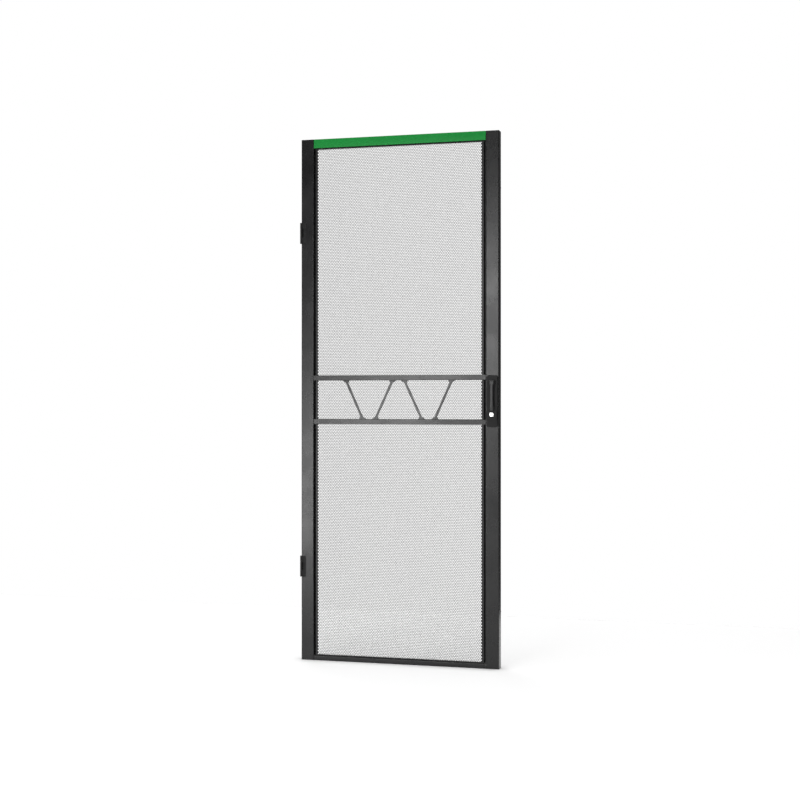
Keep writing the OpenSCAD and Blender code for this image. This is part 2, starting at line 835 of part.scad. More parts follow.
// Slots in the gearbox's ends for the two rods, one on each side of the pinion
module rod_slots() {
    low = rod_y - rod_t / 2 - free_gap;
    high = rod_y + rod_t / 2 + free_gap;
    inner = rack_root - free_gap;
    outer = rack_root + rod_w + free_gap;
    span([inner, low, 0], [outer, high, box_half + over]);
    span([-outer, low, -box_half - over], [-inner, high, 0]);
}

module gearbox_cover() {
    color(zinc) in_handle() difference() {
        span([-box_half_w, box_rim, -box_half], [box_half_w, box_back, box_half]);
        y_rod(pin_journal_r + run_gap, box_rim - over, box_back + over);
        long_screw_holes(screw_r + join, box_rim - over, box_back + over);
        at_cover_screws() y_rod(cover_screw_r + hole_gap, box_rim - over, box_back + over);
    }
}

function involute(a) = tan(a) * 180 / PI - a;

// Half the angle that a pinion tooth spans at radius r; below the base circle the flank is radial
function half_angle(r) =
    let (base = pitch_r * cos(pressure), a = r > base ? acos(base / r) : 0)
    half_tooth / pitch_r * 180 / PI + involute(pressure) - involute(a);

// Outline of the pinion: up one flank of each tooth and down the other, with flats between the roots
module pinion_outline() {
    base = pitch_r * cos(pressure);
    flank = concat([pinion_root], [for (i = [0 : 3]) base + (pinion_tip - base) * i / 3]);
    polygon([for (k = [0 : teeth - 1]) let (mid = 360 / teeth * k) for (i = [0 : 9])
        let (r = flank[i < 5 ? i : 9 - i], a = mid + (i < 5 ? -1 : 1) * half_angle(r)) r * [cos(a), sin(a)]]);
}

module pinion() {
    socket = spindle_w / 2 + run_gap;
    color(zinc) in_handle() difference() {
        union() {
            plate_y(rod_y - gear_t / 2, rod_y + gear_t / 2) pinion_outline();
            y_rod(pin_journal_r, box_front + free_gap, box_back - free_gap);
        }
        span([-socket, box_front, -socket], [socket, box_back, socket]);
    }
}

module cover_screws() {
    color(zinc) in_handle() at_cover_screws()
        cap_screw(cover_screw_r, box_back + 2 * join - cover_screw_len, box_back, cover_head_r, cover_head_h,
            cover_key);
}

// Long screws that clamp the gearbox to the posts of the escutcheon, through the stile's front wall
module gearbox_screws() {
    color(zinc) in_handle() for (z = long_screw_z) translate([0, 0, z])
        cap_screw(screw_r, screw_front, box_back, cap_r, cap_h, cap_key);
}

module escutcheon_screw() {
    color(zinc) in_handle() translate([0, 0, esc_screw_z])
        cap_screw(screw_r, screw_front, frame_t, esc_cap_r, cap_h, cap_key);
}

// ---- lock rods ----

// A lock rod on the +X side of the pinion, running up to tip_z: rack teeth first, then a plain bar with a
// bevelled tip. The other rod is the same thing turned half a turn about the spindle.
module lock_rod(tip_z) {
    teeth_up = ceil((rod_travel + rack_over) / tooth_pitch);
    outer = rack_root + rod_w;
    plate_y(rod_y - rod_t / 2, rod_y + rod_t / 2) {
        polygon([[rack_root, -rack_over], [outer, -rack_over],
            [outer, tip_z - rod_bevel[1]], [outer - rod_bevel[0], tip_z],
            [rack_root + rod_bevel[0], tip_z], [rack_root, tip_z - rod_bevel[1]]]);
        for (k = [-2 : teeth_up - 1]) translate([0, (k + 0.5) * tooth_pitch]) rack_tooth();
    }
}

// One rack tooth, its root let a little way into the rod
module rack_tooth() {
    slope = tan(pressure);
    base_x = rack_root + join / 2;
    tip = half_tooth - (pitch_r - rack_tip) * slope;
    root = half_tooth + (rack_root - pitch_r) * slope;
    polygon([[rack_tip, -tip], [rack_root, -root], [base_x, -root], [base_x, root], [rack_root, root],
        [rack_tip, tip]]);
}

module upper_rod() {
    color(zinc) in_handle() lock_rod(upper_tip_z);
}

module lower_rod() {
    color(zinc) in_handle() rotate([0, 180, 0]) lock_rod(-lower_tip_z);
}

// Guide: a foot on two welded studs and a block with the rod's slot
module rod_guide(i) {
    slot_x = rod_w / 2 + free_gap;
    slot_y = rod_t / 2 + free_gap;
    edge = guide_w / 2;
    color(nylon) in_handle() translate([guide_places[i][0], 0, guide_places[i][1]]) difference() {
        union() {
            span([-edge, frame_t, -guide_h / 2], [edge, frame_t + guide_t, guide_h / 2]);
            span([-edge, frame_t, -guide_block], [edge, rod_y + rod_t / 2 + guide_t, guide_block]);
        }
        span([-slot_x, rod_y - slot_y, -guide_h], [slot_x, rod_y + slot_y, guide_h]);
        for (s = [-1, 1]) translate([0, 0, s * guide_stud_z])
            y_rod(stud_r + join, 0, frame_t + guide_t + over);
    }
}

module upper_rod_top_guide() rod_guide(0);
module upper_rod_low_guide() rod_guide(1);
module lower_rod_top_guide() rod_guide(2);
module lower_rod_low_guide() rod_guide(3);

module guide_nuts() {
    y0 = frame_t + guide_t;
    color(zinc) in_handle() for (g = guide_places) for (s = [-1, 1])
        translate([g[0], 0, g[1] + s * guide_stud_z]) difference() {
            y_hex(nut_across, y0, y0 + nut_t);
            y_rod(stud_r + thread_gap, y0 - over, y0 + nut_t + over);
        }
}

// ---- stops and earth stud ----

// Rubber stop with a barbed stem pushed through the stile's back lip
module rubber_stop(x, z) {
    inside = door_d - frame_t;
    color(nylon) in_door() translate([x, 0, z]) {
        y_rod(stop_r, door_d, door_d + stop_h);
        y_rod(stem_r - run_gap, inside, door_d + join);
        y_rod(stem_r - stem_neck, inside - over, door_d);
        y_cone(stem_r - stem_neck, stem_r + stem_barb, inside - hole_gap - barb_h, inside - hole_gap);
    }
}

module stop_upper_left() rubber_stop(stop_x, door_h - stop_z);
module stop_lower_left() rubber_stop(stop_x, stop_z);
module stop_upper_right() rubber_stop(door_w - stop_x, door_h - stop_z);
module stop_lower_right() rubber_stop(door_w - stop_x, stop_z);

// Weld stud for the cabinet's earth lead, on the inside of the hinge stile's front wall
module earth_stud() {
    color(zinc) in_door() translate([earth_x, 0, earth_z]) {
        y_rod(earth_base_r, frame_t, frame_t + earth_base_t);
        y_rod(earth_r, frame_t, frame_t + earth_len);
    }
}

left_stile();
right_stile();
head_rail();
foot_rail();
perforated_panel();
head_strip();
strip_clips();
truss_upper_rail();
truss_lower_rail();
brace_outer_left();
brace_inner_left();
brace_inner_right();
brace_outer_right();
upper_hinge_bracket();
lower_hinge_bracket();
upper_hinge_pin();
lower_hinge_pin();
upper_hinge_leaf();
lower_hinge_leaf();
upper_hinge_backing();
lower_hinge_backing();
hinge_leaf_screws();
hinge_washers();
escutcheon();
lever();
lever_pin();
hub();
spindle();
lock_bezel();
key_plug();
lock_cam();
plug_clip();
gearbox_body();
gearbox_cover();
pinion();
cover_screws();
gearbox_screws();
escutcheon_screw();
upper_rod();
lower_rod();
upper_rod_top_guide();
upper_rod_low_guide();
lower_rod_top_guide();
lower_rod_low_guide();
guide_nuts();
stop_upper_left();
stop_lower_left();
stop_upper_right();
stop_lower_right();
earth_stud();
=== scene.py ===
import math

import bmesh
import bpy
import mathutils
import numpy as np
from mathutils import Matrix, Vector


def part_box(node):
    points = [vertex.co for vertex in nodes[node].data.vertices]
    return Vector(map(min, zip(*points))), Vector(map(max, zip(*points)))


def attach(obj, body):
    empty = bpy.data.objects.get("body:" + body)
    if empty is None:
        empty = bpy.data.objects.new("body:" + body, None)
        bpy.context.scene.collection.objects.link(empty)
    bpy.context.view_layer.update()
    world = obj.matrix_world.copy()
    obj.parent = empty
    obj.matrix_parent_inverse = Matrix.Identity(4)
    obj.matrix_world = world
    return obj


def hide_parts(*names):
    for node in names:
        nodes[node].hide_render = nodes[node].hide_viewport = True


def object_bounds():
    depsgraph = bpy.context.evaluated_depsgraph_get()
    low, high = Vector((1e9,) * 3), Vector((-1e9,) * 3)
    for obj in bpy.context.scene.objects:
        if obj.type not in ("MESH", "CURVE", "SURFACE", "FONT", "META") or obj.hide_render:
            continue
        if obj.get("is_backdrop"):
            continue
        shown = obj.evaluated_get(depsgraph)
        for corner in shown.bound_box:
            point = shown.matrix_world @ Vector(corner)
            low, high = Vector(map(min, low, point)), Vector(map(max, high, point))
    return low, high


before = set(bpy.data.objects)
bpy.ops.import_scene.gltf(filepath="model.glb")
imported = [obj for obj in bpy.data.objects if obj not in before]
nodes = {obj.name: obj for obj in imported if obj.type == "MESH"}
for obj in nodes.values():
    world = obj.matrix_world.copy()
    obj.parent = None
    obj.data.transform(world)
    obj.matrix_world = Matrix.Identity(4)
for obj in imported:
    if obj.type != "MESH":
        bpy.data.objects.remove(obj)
cad_low, cad_high = (np.array(corner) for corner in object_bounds())

# Front door of a server rack. Metres, in the CAD frame: X from the hinges to the handle, Y from the front of
# the door to the cabinet, Z up. Every place comes from the CAD nodes' boxes.


def box(*names):
    """Lowest and highest corner over these CAD nodes, as two arrays."""
    low = np.min([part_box(n)[0] for n in names], axis=0)
    high = np.max([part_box(n)[1] for n in names], axis=0)
    return low, high


PANEL_LOW, PANEL_HIGH = box("perforated_panel")
STRIP_LOW, STRIP_HIGH = box("head_strip")
PANEL_T = 0.0012


# ---- mesh helpers ----

def outward(verts, faces):
    """The faces turned the other way round if the volume they enclose comes out negative: the volume is
    the sum over all corner triples of a fan of a point's dot product with the cross product of the next
    two."""
    total = 0.0
    for f in faces:
        for k in range(1, f.shape[1] - 1):
            a, b, c = verts[f[:, 0]], verts[f[:, k]], verts[f[:, k + 1]]
            total += np.einsum("ij,ij->i", a, np.cross(b, c)).sum()
    return faces if total > 0 else [f[:, ::-1] for f in faces]


def solid(name, verts, faces, smooth=None):
    """A mesh object from points and a list of face arrays, one array for each number of corners. smooth
    is the angle in degrees below which neighbouring faces are shaded as one surface."""
    verts = np.asarray(verts, float)
    faces = outward(verts, [np.asarray(f, np.int64) for f in faces if len(f)])
    mesh = bpy.data.meshes.new(name)
    mesh.vertices.add(len(verts))
    mesh.vertices.foreach_set("co", verts.astype(np.float32).ravel())
    counts = np.concatenate([np.full(len(f), f.shape[1]) for f in faces])
    corners = np.concatenate([f.ravel() for f in faces])
    mesh.loops.add(len(corners))
    mesh.loops.foreach_set("vertex_index", corners.astype(np.int32))
    mesh.polygons.add(len(counts))
    mesh.polygons.foreach_set("loop_start", (np.cumsum(counts) - counts).astype(np.int32))
    mesh.update(calc_edges=True)
    mesh.validate()
    obj = bpy.data.objects.new(name, mesh)
    bpy.context.scene.collection.objects.link(obj)
    if smooth is not None:
        mesh.polygons.foreach_set("use_smooth", np.ones(len(counts), bool))
        mesh.set_sharp_from_angle(angle=math.radians(smooth))
    return obj


def rings_to_faces(count, size, closed_path=False):
    """Four-cornered faces between each ring and the next, for rings of size points."""
    i = np.arange(count if closed_path else count - 1)[:, None]
    j = np.arange(size)[None, :]
    a, b = i * size + j, i * size + (j + 1) % size
    c, d = (i + 1) % count * size + (j + 1) % size, (i + 1) % count * size + j
    return np.stack([a, b, c, d], -1).reshape(-1, 4)


def lofted(name, rings, smooth=30):
    """A closed skin over a stack of rings: each ring is joined to the next, and the first and last are
    closed by one flat face each."""
    rings = np.asarray(rings, float)
    count, size = rings.shape[:2]
    first = np.arange(size)[None, ::-1]
    last = np.arange(size)[None, :] + (count - 1) * size
    faces = [rings_to_faces(count, size), np.concatenate([first, last])]
    return solid(name, rings.reshape(-1, 3), faces, smooth)


def extruded(name, outline, axis, start, end, smooth=30):
    """An outline carried straight along an axis: its points keep their two coordinates, and the third
    goes from start to end."""
    outline = np.asarray(outline, float)
    rings = [np.insert(outline, axis, value, axis=1) for value in (start, end)]
    return lofted(name, rings, smooth)


# ---- perforated sheet ----

PITCH = 0.0065
HOLE = 0.00546
ROW = PITCH * math.sqrt(3) / 2
MARGIN = 0.0135
END_MARGIN = 0.0024
FIELD_LOW = np.array([PANEL_LOW[0] + MARGIN, PANEL_LOW[2] + END_MARGIN])
FIELD_HIGH = np.array([PANEL_HIGH[0] - MARGIN, PANEL_HIGH[2] - END_MARGIN])
COLUMNS = int((FIELD_HIGH[0] - FIELD_LOW[0] - PITCH / 2) / PITCH)
ROWS = int((FIELD_HIGH[1] - FIELD_LOW[1] - HOLE) / ROW) + 1
TUCK = 0.001
PATCHES = 5


def hole_corners(row):
    """The six corners of every hole of some rows, as (rows, columns, 6, 2) in X and Z. Each row lies a
    row pitch above the last and every second one is shifted by half a pitch; a hole's corners lie on a
    circle, the first at 30 degrees, so that two of its sides stand upright."""
    row = np.asarray(row)[:, None]
    width = (COLUMNS - 1 + 0.5) * PITCH
    height = (ROWS - 1) * ROW
    start = (FIELD_LOW + FIELD_HIGH - [width, height]) / 2
    x = start[0] + (np.arange(COLUMNS)[None, :] + 0.5 * (row % 2)) * PITCH
    z = start[1] + row * ROW + 0 * x
    angle = np.radians(30 + 60 * np.arange(6))
    ring = HOLE / math.sqrt(3) * np.stack([np.cos(angle), np.sin(angle)], -1)
    return np.stack([x, z], -1)[:, :, None, :] + ring


def perforated_patch(name, first, last, front, back):
    """A strip of the perforated sheet that holds the rows from first to last. In its plane the metal
    between the holes is a bar beside every hole and two above it, and a triangle wherever three bars
    meet, so each face is made once for a whole array of holes. The outer holes are filled out to a
    straight edge. The flat pattern is then given two sides, and a wall along every edge that only one
    face uses."""
    top = last == ROWS
    rows = np.arange(first, last + (not top))
    points = hole_corners(rows).reshape(-1, 2)
    j, i = np.meshgrid(np.arange(last - first), np.arange(COLUMNS), indexing="ij")
    odd = (j + first) % 2

    def corner(jj, ii, k):
        """Number of corner k of the hole in row jj and column ii."""
        return (jj * COLUMNS + ii) * 6 + k

    beside = i + 1 < COLUMNS
    above = j + 1 < len(rows)
    right, left = i + odd, i + odd - 1
    up_right, up_left = above & (right < COLUMNS), above & (left >= 0)
    flat4 = [np.stack([corner(j, i, 5), corner(j, i + 1, 3), corner(j, i + 1, 2), corner(j, i, 0)],
                      -1)[beside],
             np.stack([corner(j, i, 0), corner(j + 1, right, 4), corner(j + 1, right, 3), corner(j, i, 1)],
                      -1)[up_right],
             np.stack([corner(j, i, 1), corner(j + 1, left, 5), corner(j + 1, left, 4), corner(j, i, 2)],
                      -1)[up_left]]
    flat3 = [np.stack([corner(j, i, 0), corner(j, i + 1, 2), corner(j + 1, right, 4)],
                      -1)[beside & up_right],
             np.stack([corner(j, i, 1), corner(j + 1, right, 3), corner(j + 1, left, 5)],
                      -1)[up_right & up_left]]

    edge_low, edge_high = FIELD_LOW - TUCK, FIELD_HIGH + TUCK

    def fill(chain, column, value, flip):
        """Faces between a chain of corners and its shadow on a straight edge."""
        nonlocal points
        shadow = points[chain].copy()
        shadow[:, column] = value
        ids = len(points) + np.arange(len(chain))
        points = np.concatenate([points, shadow])
        quad = np.stack([ids[:-1], chain[:-1], chain[1:], ids[1:]], -1)
        flat4.append(quad[:, ::-1] if flip else quad)
        return ids

    def side_chain(protruding, low_corners, high_corners, column):
        """Corners up one side of the strip: four of every hole that stands out, two of every other."""
        chain = []
        for jj, row in enumerate(rows):
            out = row % 2 == protruding
            whole = low_corners + high_corners if out else low_corners[-1:] + high_corners[:1]
            if row == first:
                whole = whole[len(low_corners) - 1 if out else 0:]
            if row == last:
                whole = whole[:len(low_corners) if out else 1]
            elif top and row == last - 1:
                whole = whole[:len(low_corners) + 1 if out else 2]
            chain += [corner(jj, column, k) for k in whole]
        return np.array(chain)

    left_chain = side_chain(0, [4, 3], [2, 1], 0)
    right_chain = side_chain(1, [4, 5], [0, 1], COLUMNS - 1)
    left_edge = fill(left_chain, 0, edge_low[0], False)
    right_edge = fill(right_chain, 0, edge_high[0], True)
    for present, jj, order, value, k in ((first == 0, 0, [3, 4, 5], edge_low[1], 0),
                                         (top, last - first - 1, [2, 1, 0], edge_high[1], -1)):
        if not present:
            continue
        chain = corner(jj, np.arange(COLUMNS)[:, None], np.array(order)[None, :]).ravel()
        ids = fill(chain, 1, value, k == 0)
        corners = len(points) + np.arange(2)
        points = np.concatenate([points, [[edge_low[0], value], [edge_high[0], value]]])
        flat4.append(np.array([[left_edge[k], left_chain[k], ids[0], corners[0]],
                               [right_edge[k], right_chain[k], ids[-1], corners[1]]]))
    flat4, flat3 = np.concatenate(flat4), np.concatenate(flat3)

    def turned(f):
        """The same faces, each seen anticlockwise from the front."""
        p = points[f]
        q = np.roll(p, -1, axis=1)
        area = (p[..., 0] * q[..., 1] - q[..., 0] * p[..., 1]).sum(1)
        return np.where(area[:, None] > 0, f, f[:, ::-1])

    flat4, flat3 = turned(flat4), turned(flat3)
    used, number = np.unique(np.concatenate([flat4.ravel(), flat3.ravel()]), return_inverse=True)
    points = points[used]
    flat4 = number[:flat4.size].reshape(flat4.shape)
    flat3 = number[flat4.size:].reshape(flat3.shape)
    edges = np.concatenate([np.stack([f, np.roll(f, -1, axis=1)], -1).reshape(-1, 2)
                            for f in (flat4, flat3)])
    size = len(points)
    key = edges[:, 0] * size + edges[:, 1]
    lone = edges[~np.isin(key, edges[:, 1] * size + edges[:, 0])]
    walls = np.stack([lone[:, 1], lone[:, 0], lone[:, 0] + size, lone[:, 1] + size], -1)
    verts = np.concatenate([np.insert(points, 1, y, axis=1) for y in (front, back)])
    return solid(name, verts, [np.concatenate([flat4, flat4[:, ::-1] + size, walls]),
                               np.concatenate([flat3, flat3[:, ::-1] + size])])


def sheet_outline(path, thickness, bend, steps=5):
    """Outline of a folded sheet: the path through the middle of its thickness, moved half a thickness
    to its left and to its right, with a quarter circle about the same centre on both sides at every
    bend."""
    path = np.asarray(path, float)
    along = np.diff(path, axis=0)
    along /= np.linalg.norm(along, axis=1)[:, None]
    left = np.stack([-along[:, 1], along[:, 0]], -1) * thickness / 2
    phi = np.linspace(0, math.pi / 2, steps)[:, None]
    sides = []
    for side in (1, -1):
        points = [path[:1] + side * left[0]]
        for before, after, corner in zip(along[:-1], along[1:], path[1:-1]):
            turn = before[0] * after[1] - before[1] * after[0]
            radius = bend - side * turn * thickness / 2
            centre = corner + (after - before) * bend
            points.append(centre + radius * (before * np.sin(phi) - after * np.cos(phi)))
        points.append(path[-1:] + side * left[-1])
        sides.append(np.concatenate(points))
    return np.concatenate([sides[0], sides[1][::-1]])


GROOVE_W = 0.0065
GROOVE_D = 0.012
FLANGE_D = 0.018
SHEET_BEND = 0.0015
MID = PANEL_T / 2
FACE_Y = PANEL_LOW[1] + MID
SHRINK = 0.00003


def panel_pieces():
    """The panel as its perforated field, a folded margin along each side and a flange at its head and
    foot. The field lies a hair inside the thickness of the margins it is tucked into, so that no two
    faces coincide."""
    pieces = []
    cuts = np.linspace(0, ROWS, PATCHES + 1).astype(int)
    front, back = PANEL_LOW[1] + SHRINK, PANEL_LOW[1] + PANEL_T - SHRINK
    for k in range(PATCHES):
        pieces.append(perforated_patch(f"perforated_field_{k + 1}", cuts[k], cuts[k + 1], front, back))
    corner = SHEET_BEND + MID
    for side, edge, inward in (("left", PANEL_LOW[0], 1), ("right", PANEL_HIGH[0], -1)):
        tab = edge + inward * MID
        fold = edge + inward * (GROOVE_W + MID)
        path = [[tab, PANEL_HIGH[1]], [tab, FACE_Y + GROOVE_D], [fold, FACE_Y + GROOVE_D], [fold, FACE_Y],
                [edge + inward * MARGIN, FACE_Y]]
        pieces.append(extruded(f"panel_margin_{side}", sheet_outline(path, PANEL_T, SHEET_BEND), 2,
                               PANEL_LOW[2] + corner, PANEL_HIGH[2] - corner))
    start = PANEL_LOW[0] + GROOVE_W + MID + SHEET_BEND
    end = PANEL_HIGH[0] - GROOVE_W - MID - SHEET_BEND
    for part, edge, inward, rim in (("head", PANEL_HIGH[2], -1, FIELD_HIGH[1]),
                                    ("foot", PANEL_LOW[2], 1, FIELD_LOW[1])):
        path = [[FACE_Y + FLANGE_D, edge + inward * MID], [FACE_Y, edge + inward * MID], [FACE_Y, rim]]
        pieces.append(extruded(f"panel_flange_{part}", sheet_outline(path, PANEL_T - SHRINK, SHEET_BEND), 0,
                               start, end))
    for piece in pieces:
        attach(piece, "door")
        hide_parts("perforated_panel")
    return pieces[:PATCHES], pieces[PATCHES:]


field, margins = panel_pieces()


# ---- head strip ----

def rounded_bar(name, low, high, radius, end_radius, steps=5):
    """A bar along X. Its section is a rectangle in Y and Z with round corners; near each end the
    section draws in along a quarter circle, so the ends are rounded too."""
    centre, half = (low + high) / 2, (high - low) / 2
    phi = np.linspace(0, math.pi / 2, steps)
    quarter = np.stack([np.cos(phi), np.sin(phi)], -1)
    turn = np.array([[0, -1], [1, 0]])
    inset = end_radius * (1 - np.sin(phi))
    along = end_radius * (1 - np.cos(phi))
    stations = np.concatenate([np.stack([low[0] + along, inset], -1),
                               np.stack([high[0] - along[::-1], inset[::-1]], -1)])
    rings = []
    for x, draw in stations:
        size = half[1:] - draw
        ring, arc = [], quarter * radius
        for k in range(4):
            sign = np.array([[1, 1], [-1, 1], [-1, -1], [1, -1]][k])
            ring.append(centre[1:] + sign * (size - radius) + arc)
            arc = arc @ turn.T
        ring = np.concatenate(ring)
        rings.append(np.insert(ring, 0, x, axis=1))
    return lofted(name, rings)


STRIP_GAP = 0.0004
strip = rounded_bar("green_strip", STRIP_LOW + [STRIP_GAP, 0, STRIP_GAP], STRIP_HIGH - [STRIP_GAP, 0, 0],
                    0.0007, 0.0008)
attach(strip, "door")
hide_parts("head_strip")


# ---- rounded copies of solid pieces ----

def round_edges(piece, width, segments):
    """Every edge sharper than 40 degrees rounded to a width."""
    rounding = piece.modifiers.new("rounding", "BEVEL")
    rounding.width = width
    rounding.segments = segments
    rounding.limit_method = "ANGLE"
    rounding.angle_limit = math.radians(40)
    rounding.harden_normals = True


def rounded_copy(name, node, width, body, segments=2):
    """A copy of a solid with its loose triangles joined and its flat faces made whole, and every edge
    sharper than 40 degrees rounded to the given width. Small holes keep their true size, as their rims
    are chamfered outwards."""
    mesh = bpy.data.meshes.new(name)
    skin = bmesh.new()
    skin.from_mesh(nodes[node].data)
    bmesh.ops.remove_doubles(skin, verts=skin.verts, dist=2e-6)
    bmesh.ops.dissolve_limit(skin, angle_limit=math.radians(0.5), verts=skin.verts, edges=skin.edges)
    bmesh.ops.recalc_face_normals(skin, faces=skin.faces)
    skin.to_mesh(mesh)
    skin.free()
    piece = bpy.data.objects.new(name, mesh)
    bpy.context.scene.collection.objects.link(piece)
    mesh.polygons.foreach_set("use_smooth", np.ones(len(mesh.polygons), bool))
    mesh.set_sharp_from_angle(angle=math.radians(30))
    round_edges(piece, width, segments)
    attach(piece, body)
    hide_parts(node)
    return piece


plate = rounded_copy("handle_plate", "escutcheon", 0.0005, "door", 3)
turning_hub = rounded_copy("turning_hub", "hub", 0.0004, "handle_hub")
leaves = [rounded_copy(f"{k}_hinge_door_leaf", f"{k}_hinge_leaf", 0.0004, "door")
          for k in ("upper", "lower")]
brackets = [rounded_copy(f"{k}_hinge_cabinet_arm", f"{k}_hinge_bracket", 0.0004, "root")
            for k in ("upper", "lower")]
braces = [rounded_copy(f"truss_{k}", f"brace_{k}", 0.0005, "door")
          for k in ("outer_left", "inner_left", "inner_right", "outer_right")]


# ---- lever ----

LEVER_LOW, LEVER_HIGH = box("lever")
PIN_LOW, PIN_HIGH = box("lever_pin")
LIP_T = 0.0018
LIP_W = 0.012
LIP_H = 0.0065
pivot = (PIN_LOW + PIN_HIGH) / 2
lever_mid = (LEVER_LOW[0] + LEVER_HIGH[0]) / 2


def lever_grip():
    """The moulded grip, as rings up from its free end. Each ring is a rounded oblong: the cosine and
    sine of an angle, each raised to a power below one and stretched to half the width and half the
    depth. The width draws in a little at the waist and closes over the last few millimetres at the
    ends, and the back hollows out above the free end where the fingers go."""
    foot, head = LEVER_LOW[2] + LIP_H, pivot[2] - 0.0085
    length = head - foot
    cap = 0.06
    phi = np.linspace(0, math.pi / 2, 8)
    s = np.concatenate([cap * (1 - np.cos(phi))[:-1], np.linspace(cap, 1 - cap, 36),
                        1 - cap * (1 - np.sin(phi))[1:]])
    s = np.clip(s, 0, 1)
    near_end = np.clip(np.minimum(s, 1 - s) / cap, 0, 1)
    closing = np.sqrt(1 - (1 - near_end) ** 2) * 0.4 + 0.6
    half_w = (LEVER_HIGH[0] - LEVER_LOW[0]) / 2
    waist = 1 - 0.09 * np.exp(-((s - 0.48) / 0.28) ** 2)
    width = half_w * waist * (0.75 + 0.25 * closing)
    front = LEVER_LOW[1] + 0.0016 * (1 - closing) + 0.0006 * (1 - np.cos((s - 0.5) * 2.2))
    back = LEVER_HIGH[1] - 0.0030 * np.exp(-((s - 0.17) / 0.10) ** 2) - 0.0012 * (1 - closing)
    t = np.linspace(0, 2 * math.pi, 48, endpoint=False)
    cos, sin = np.cos(t), np.sin(t)
    x = np.sign(cos) * np.abs(cos) ** 0.55
    y = np.sign(sin) * np.abs(sin) ** 0.62
    rings = np.empty((len(s), len(t), 3))
    rings[..., 0] = lever_mid + width[:, None] * x
    rings[..., 1] = ((front + back) / 2)[:, None] + ((back - front) / 2)[:, None] * y
    rings[..., 2] = (foot + s * length)[:, None]
    return lofted("lever_grip", rings, 40)


def pierced(name, outer, inner, axis, start, end, smooth=30):
    """Two outlines with the same number of points, one inside the other, carried straight along an
    axis: a solid with a hole right through it."""
    size = len(outer)
    loops = [np.insert(o, axis, v, axis=1) for v in (start, end) for o in (outer, inner)]
    verts = np.concatenate(loops)
    j = np.arange(size)
    n = (j + 1) % size
    outside = np.stack([j, n, n + 2 * size, j + 2 * size], -1)
    inside = np.stack([j + size, j + 3 * size, n + 3 * size, n + size], -1)
    first = np.stack([j, j + size, n + size, n], -1)
    last = np.stack([j, n, n + size, j + size], -1) + 2 * size
    return solid(name, verts, [np.concatenate([outside, inside, first, last])], smooth)


def lever_eye():
    """The lever's eye on its pin: a half circle over the pin and straight cheeks below it, in Y and Z,
    with the pin's hole through it. Seen from the hole, both outlines are cut at the same angles."""
    radius = (LEVER_HIGH[1] - LEVER_LOW[1]) / 2 - 0.0001
    skirt = 0.0105
    angle = np.radians(np.arange(0, 360, 7.5))
    c, s = np.cos(angle), np.sin(angle)
    reach = np.where(s >= 0, radius, np.minimum(radius / np.maximum(np.abs(c), 1e-9),
                                                skirt / np.maximum(-s, 1e-9)))
    hole = (PIN_HIGH[2] - PIN_LOW[2]) / 2 + 0.00005
    ring = np.stack([c, s], -1)
    centre = pivot[1:]
    eye = pierced("lever_eye", centre + ring * reach[:, None], centre + ring * hole, 0,
                  LEVER_LOW[0] + 0.0001, LEVER_HIGH[0] - 0.0001)
    round_edges(eye, 0.0005, 2)
    return eye


def lever_lip():
    """The thin tongue below the grip that the lock's cam covers: a rounded bar turned upright."""
    low = np.array([LEVER_LOW[2], lever_mid - LIP_W / 2, LEVER_HIGH[1] - LIP_T])
    high = np.array([LEVER_LOW[2] + LIP_H + 0.004, lever_mid + LIP_W / 2, LEVER_HIGH[1]])
    lip = rounded_bar("lever_lip", low, high, 0.0005, 0.0005)
    co = np.empty(len(lip.data.vertices) * 3, np.float32)
    lip.data.vertices.foreach_get("co", co)
    co = co.reshape(-1, 3)[:, [1, 2, 0]]
    lip.data.vertices.foreach_set("co", co.ravel())
    return lip


lever_pieces = [lever_grip(), lever_eye(), lever_lip()]
for piece in lever_pieces:
    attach(piece, "lever_arm")
    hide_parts("lever")


# ---- node helpers ----

def feed(tree, socket, value):
    """An input set to a number or colour, or linked to an output socket of another node."""
    if isinstance(value, bpy.types.NodeSocket):
        tree.links.new(value, socket)
    else:
        socket.default_value = value


def add(tree, kind, inputs=None, **settings):
    """A shader node. An input takes a number or colour, or an output socket of another node."""
    made = tree.nodes.new("ShaderNode" + kind)
    for key, value in settings.items():
        setattr(made, key, value)
    for key, value in (inputs or {}).items():
        feed(tree, made.inputs[key], value)
    return made


def span(tree, value, low, high, to_low=0.0, to_high=1.0):
    """A value stretched from one range to another and held inside it."""
    return add(tree, "MapRange", {"Value": value, "From Min": low, "From Max": high, "To Min": to_low,
                                  "To Max": to_high}).outputs["Result"]


def blend(tree, share, first, second):
    """A colour between two colours."""
    mix = add(tree, "Mix", data_type="RGBA")
    feed(tree, mix.inputs[0], share)
    for key, value in ((6, first), (7, second)):
        feed(tree, mix.inputs[key], (*value, 1) if isinstance(value, tuple) else value)
    return mix.outputs[2]


def noise(tree, scale, detail=2.0, roughness=0.5, vector=None):
    """Noise in object space, its scale in features a metre."""
    where = vector or add(tree, "TexCoord").outputs["Object"]
    return add(tree, "TexNoise", {"Vector": where, "Scale": scale, "Detail": detail,
                                  "Roughness": roughness}).outputs[0]


def group(name, inputs, outputs):
    """A node group with these sockets, given as (name, kind, default)."""
    tree = bpy.data.node_groups.new(name, "ShaderNodeTree")
    for label, kind, value in inputs:
        socket = tree.interface.new_socket(label, in_out="INPUT", socket_type="NodeSocket" + kind)
        socket.default_value = value
    for label, kind in outputs:
        tree.interface.new_socket(label, in_out="OUTPUT", socket_type="NodeSocket" + kind)
    return tree, tree.nodes.new("NodeGroupInput").outputs, tree.nodes.new("NodeGroupOutput").inputs


